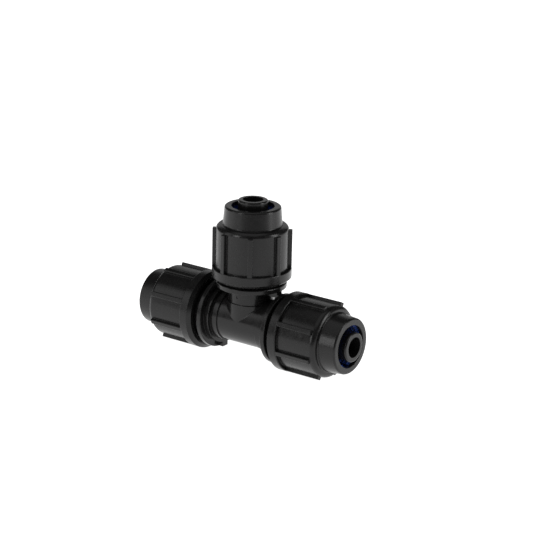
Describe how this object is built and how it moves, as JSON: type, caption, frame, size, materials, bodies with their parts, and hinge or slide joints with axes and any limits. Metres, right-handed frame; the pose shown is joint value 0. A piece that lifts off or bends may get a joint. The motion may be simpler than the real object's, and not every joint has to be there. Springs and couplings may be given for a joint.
{
  "type": "compression tee fitting",
  "caption": "Black plastic compression tee for polyethylene pipe, with ribbed screw nuts, blue split grip rings and internal tails.",
  "frame": {"origin": "the point where the axes of the run and of the branch cross", "axes": "+X along the run, towards the port at the right in the front view; +Z along the branch, out of its port; +Y away from the front"},
  "size_m": [0.1576, 0.05, 0.1038],
  "materials": {
    "black_plastic": "satin moulded polypropylene",
    "grip_plastic": "smooth moulded acetal",
    "seal_rubber": "matt nitrile"
  },
  "bodies": {
    "tee": {"tee_body": "black_plastic", "seal_ring_top": "seal_rubber", "seal_ring_right": "seal_rubber", "seal_ring_left": "seal_rubber"},
    "gland_top": {"grip_ring_top": "grip_plastic", "thrust_ring_top": "black_plastic"},
    "cap_top": {"nut_top": "black_plastic"},
    "gland_right": {"grip_ring_right": "grip_plastic", "thrust_ring_right": "black_plastic"},
    "cap_right": {"nut_right": "black_plastic"},
    "gland_left": {"grip_ring_left": "grip_plastic", "thrust_ring_left": "black_plastic"},
    "cap_left": {"nut_left": "black_plastic"}
  },
  "joints": [
    {"name": "travel_top", "type": "slide", "parent": "tee", "child": "gland_top", "axis": [0, 0, 1], "range_m": [-0.00135, 0.01063]},
    {"name": "turn_top", "type": "hinge", "parent": "gland_top", "child": "cap_top", "pos_m": [0, 0, 0.05], "axis": [0, 0, 1], "range_deg": [-121, 956]},
    {"name": "travel_right", "type": "slide", "parent": "tee", "child": "gland_right", "axis": [1, 0, 0], "range_m": [-0.00267, 0.00932]},
    {"name": "turn_right", "type": "hinge", "parent": "gland_right", "child": "cap_right", "pos_m": [0.05, 0, 0], "axis": [1, 0, 0], "range_deg": [-239, 838]},
    {"name": "travel_left", "type": "slide", "parent": "tee", "child": "gland_left", "axis": [-1, 0, 0], "range_m": [-0.00374, 0.00825]},
    {"name": "turn_left", "type": "hinge", "parent": "gland_left", "child": "cap_left", "pos_m": [-0.05, 0, 0], "axis": [-1, 0, 0], "range_deg": [-335.5, 741.5]}
  ],
  "couplings": [
    {"joint": "travel_top", "follows": "turn_top", "m_per_rad": 0.00063662},
    {"joint": "travel_right", "follows": "turn_right", "m_per_rad": 0.00063662},
    {"joint": "travel_left", "follows": "turn_left", "m_per_rad": 0.00063662}
  ]
}
